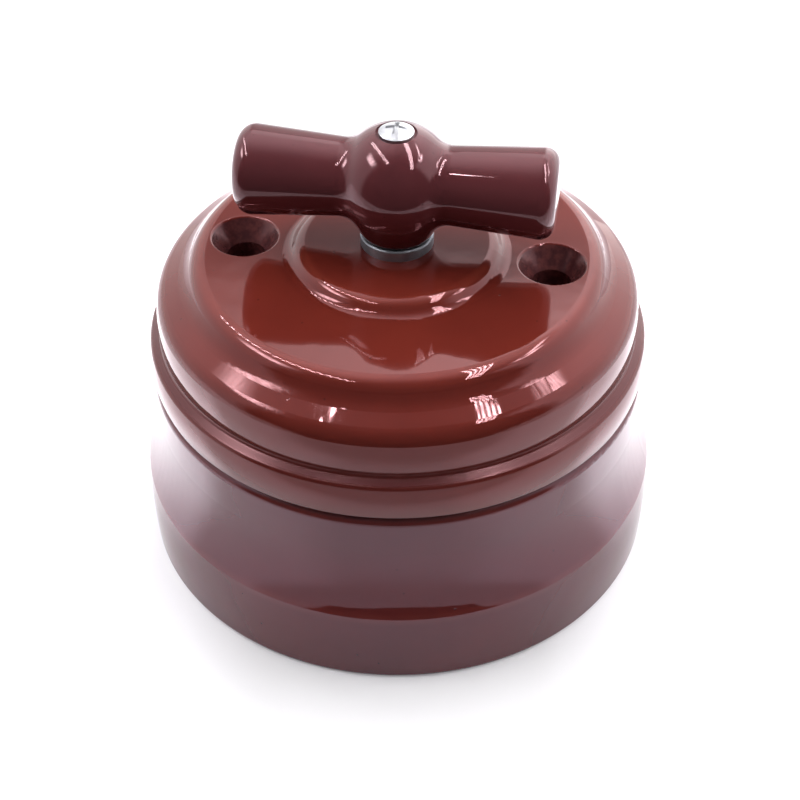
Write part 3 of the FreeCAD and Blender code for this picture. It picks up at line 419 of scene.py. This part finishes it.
def build_table():
    corners = [FRONT * TABLE_FRONT - RIGHT * TABLE_SIDE, FRONT * TABLE_FRONT + RIGHT * TABLE_SIDE,
               RIGHT * TABLE_SIDE - FRONT * TABLE_BACK, -RIGHT * TABLE_SIDE - FRONT * TABLE_BACK]
    mesh = bpy.data.meshes.new("table")
    mesh.from_pydata([corner - UP * TABLE_DROP for corner in corners], [], [(0, 1, 2, 3)])
    table = bpy.data.objects.new("table", mesh)
    bpy.context.scene.collection.objects.link(table)

    material, graph, place = new_material("table_paper")
    rays = graph.add("LightPath").outputs
    seen = graph.math("MAXIMUM", rays["Is Camera Ray"], rays["Is Glossy Ray"])
    seen = graph.math("MAXIMUM", seen, rays["Is Transmission Ray"])
    aside = graph.math("ABSOLUTE", graph.along(place, RIGHT))
    front = graph.along(place, FRONT)
    radius = graph.add("VectorMath", {0: place}, operation="LENGTH").outputs["Value"]
    # painted light and shadow: the sheet's glow paints a shadow close to the switch and light at the sides,
    # and is off well in front
    painted_side_light = graph.times(graph.ramp_mm(aside, *GLOW_SIDES_START), graph.ramp_mm(aside, *GLOW_SIDES_END),
                             graph.ramp_mm(front, *GLOW_SIDES_FRONT))
    glow = graph.plus(graph.ramp_mm(radius, *GLOW_PAINTED_SHADOW), painted_side_light,
                      graph.ramp_mm(aside, *GLOW_CLOSE_SIDES))
    glow = graph.times(glow, graph.ramp_mm(front, *GLOW_FRONT_END))
    # looked at directly, the sheet is as pale in front as elsewhere
    ahead = graph.times(graph.ramp_mm(front, *GLOW_AHEAD), rays["Is Camera Ray"])
    glow = graph.times(seen, graph.plus(glow, ahead))
    paper = graph.add("BsdfDiffuse", {"Color": TABLE_PAPER})
    lift = graph.add("Emission", {"Color": TABLE_GLOW, "Strength": glow})
    graph.finish("Material", graph.add("AddShader", {0: paper.outputs[0], 1: lift.outputs[0]}))
    mesh.materials.append(material)


# Light: a white tent, dark on the camera's side, with rows of small lamps under its roof

# Ramps over how far a direction points to the front, to the right and upwards
DARK_FRONT = (0.22, 0.42)
DARK_NARROWER = -0.05
DARK_TOP = (0.88, 0.76)
DARK_LEVEL = (0.1, 0.6, 0.08, 0.13)
WALL_FRONT_TO_BACK = (0.2, -0.55, 1.0, 1.5)
WALL_LEFT_TO_RIGHT = (-0.2, 0.15, 1.0, 2.0)
WALL_FAR_RIGHT = (0.3, 0.7, 1.0, 0.75)
DIM_HEIGHT = (0.635, 0.585)
DIM_WIDTH = (0.22, 0.1)
DIM_FRONT = (-0.5, -0.7)
DIM_SHARE = -0.65
ROOF_EDGE = (0.72, 0.79)
ROOF_FRONT_TO_BACK = (0.42, -0.55, 0.17, 1.7)
ROOF_RIGHT_TO_LEFT = (0.1, -0.15, 1.0, 1.25)


def build_world():
    world = bpy.data.worlds.new("tent")
    bpy.context.scene.world = world
    world.use_nodes = True
    graph = Graph(world.node_tree)
    direction = graph.add("TexCoord").outputs["Generated"]
    front = graph.along(direction, FRONT)
    side = graph.along(direction, RIGHT)
    height = graph.along(direction, UP)
    aside = graph.math("ABSOLUTE", side)

    # low down behind the switch the wall is dimmer
    behind = graph.times(graph.ramp(height, *DIM_HEIGHT), graph.ramp(aside, *DIM_WIDTH),
                         graph.ramp(front, *DIM_FRONT))
    walls = graph.times(graph.ramp(front, *WALL_FRONT_TO_BACK), graph.ramp(side, *WALL_LEFT_TO_RIGHT),
                        graph.ramp(side, *WALL_FAR_RIGHT),
                        graph.math("MULTIPLY_ADD", behind, DIM_SHARE, 1.0))
    roof = graph.times(graph.ramp(front, *ROOF_FRONT_TO_BACK), graph.ramp(side, *ROOF_RIGHT_TO_LEFT))
    level = graph.mix_levels(graph.ramp(height, *ROOF_EDGE), walls, roof)
    # the dark side starts a little further forward at its two ends
    opening = graph.ramp(graph.math("MULTIPLY_ADD", aside, DARK_NARROWER, front), *DARK_FRONT)
    dark = graph.times(opening, graph.ramp(height, *DARK_TOP))
    level = graph.mix_levels(dark, level, graph.ramp(height, *DARK_LEVEL))

    tent = graph.add("Background", {"Color": WHITE, "Strength": level})
    backdrop = graph.add("Background", {"Color": WHITE, "Strength": 1.0})
    rays = graph.add("LightPath").outputs
    graph.finish("World", graph.add("MixShader", {0: rays["Is Camera Ray"], 1: tent.outputs[0],
                                                  2: backdrop.outputs[0]}))


ROOF_HEIGHT = 350 * MM

# Pitch and lit length of the small lamps across and along a row, and their soft edge, in millimetres
LAMP_PITCH = {"dashes": (17.0, 25.0), "dots": (9.0, 8.0)}
LAMP_LENGTH = {"dashes": (5.0, 11.0), "dots": (4.4, 3.6)}
LAMP_EDGE = 0.5

# Crumpled reflectors
SHEET_EDGE = (0.5, 0.12)
CREASE_STRETCH = (1.0, 5.0, 1.0)
CREASE_TURN = (0.0, 0.0, 0.7)
CREASES = (22.0, 6.0, 0.8)
CREASE_RAMP = (0.36, 0.62, 0.35, 1.8)

# Centre and size rightwards and frontwards in millimetres, turn, brightness and pattern
LAMPS = {"left_row": ((-167, -53), (34, 396), 0.406, 82.0, "dashes"),
         "right_rows": ((135, 50), (44, 320), 0.37, 58.0, "dots"),
         "right_band": ((212, -72), (32, 230), 0.43, 14.0, "sheet"),
         "left_sheet": ((-300, 20), (150, 260), 0.22, 11.0, "sheet"),
         "right_sheet": ((262, 6), (90, 150), 0.22, 16.0, "sheet")}


def sheet_level(graph, place, shares):
    """Brightness of a crumpled reflector with soft edges."""
    edges = [graph.ramp(graph.math("ABSOLUTE", share), *SHEET_EDGE) for share in shares]
    grain = graph.noise(graph.stretch(place, CREASE_STRETCH, CREASE_TURN), *CREASES)
    return graph.times(*edges, graph.ramp(grain, *CREASE_RAMP))


def row_level(graph, shares, size, pattern):
    """Brightness of rows of small lamps."""
    lit = []
    for share, length, pitch, lit_length in zip(shares, size, LAMP_PITCH[pattern], LAMP_LENGTH[pattern]):
        count = length / pitch
        step = graph.math("FRACT", graph.math("MULTIPLY_ADD", share, count, 0.5 * count))
        away = graph.times(graph.math("ABSOLUTE", graph.math("SUBTRACT", step, 0.5)), 2 * pitch)
        lit.append(graph.ramp(away, lit_length + LAMP_EDGE, lit_length - LAMP_EDGE))
    return graph.times(*lit)


def hang_lamp(name, centre, size, turn, brightness, pattern):
    """Lamp under the roof; shares of its size run from -0.5 to 0.5 across and along it."""
    data = bpy.data.lights.new(name, "AREA")
    data.shape = "RECTANGLE"
    data.size = size[0] * MM
    data.size_y = size[1] * MM
    data.energy = brightness * math.pi * data.size * data.size_y
    data.use_nodes = True
    graph = Graph(data.node_tree)
    place = graph.add("NewGeometry").outputs["Position"]
    spot = (RIGHT * centre[0] + FRONT * centre[1]) * MM
    across = RIGHT * math.cos(turn) - FRONT * math.sin(turn)
    onward = FRONT * math.cos(turn) + RIGHT * math.sin(turn)
    shares = []
    for axis, length in ((across, size[0] * MM), (onward, size[1] * MM)):
        reach = graph.along(place, axis)
        shares.append(graph.math("MULTIPLY_ADD", reach, 1 / length, -spot.dot(axis) / length))
    if pattern == "sheet":
        level = sheet_level(graph, place, shares)
    else:
        level = row_level(graph, shares, size, pattern)
    graph.finish("Light", graph.add("Emission", {"Color": WHITE, "Strength": level}))
    lamp = bpy.data.objects.new(name, data)
    lamp.location = (spot.x, spot.y, ROOF_HEIGHT)
    lamp.rotation_euler = (0, 0, CAMERA_AZIMUTH + turn)
    bpy.context.scene.collection.objects.link(lamp)


def place_camera():
    data = bpy.data.cameras.new("camera")
    data.sensor_fit = "HORIZONTAL"
    data.sensor_width = SENSOR
    data.lens = LENS
    data.clip_start = CLIP_START
    camera = bpy.data.objects.new("camera", data)
    bpy.context.scene.collection.objects.link(camera)
    aim = RIGHT * AIM_RIGHT + UP * AIM_HEIGHT
    away = FRONT * math.cos(CAMERA_ELEVATION) + UP * math.sin(CAMERA_ELEVATION)
    turn = (-away).to_track_quat("-Z", "Y").to_matrix().to_4x4()
    camera.matrix_world = (Matrix.Translation(aim + away * CAMERA_DISTANCE) @ turn
                           @ Matrix.Rotation(CAMERA_ROLL, 4, "Z"))
    bpy.context.scene.camera = camera


build_table()
build_world()
for name, lamp in LAMPS.items():
    hang_lamp(name, *lamp)
place_camera()
bpy.context.scene.view_settings.view_transform = "Standard"

bpy.context.view_layer.update()
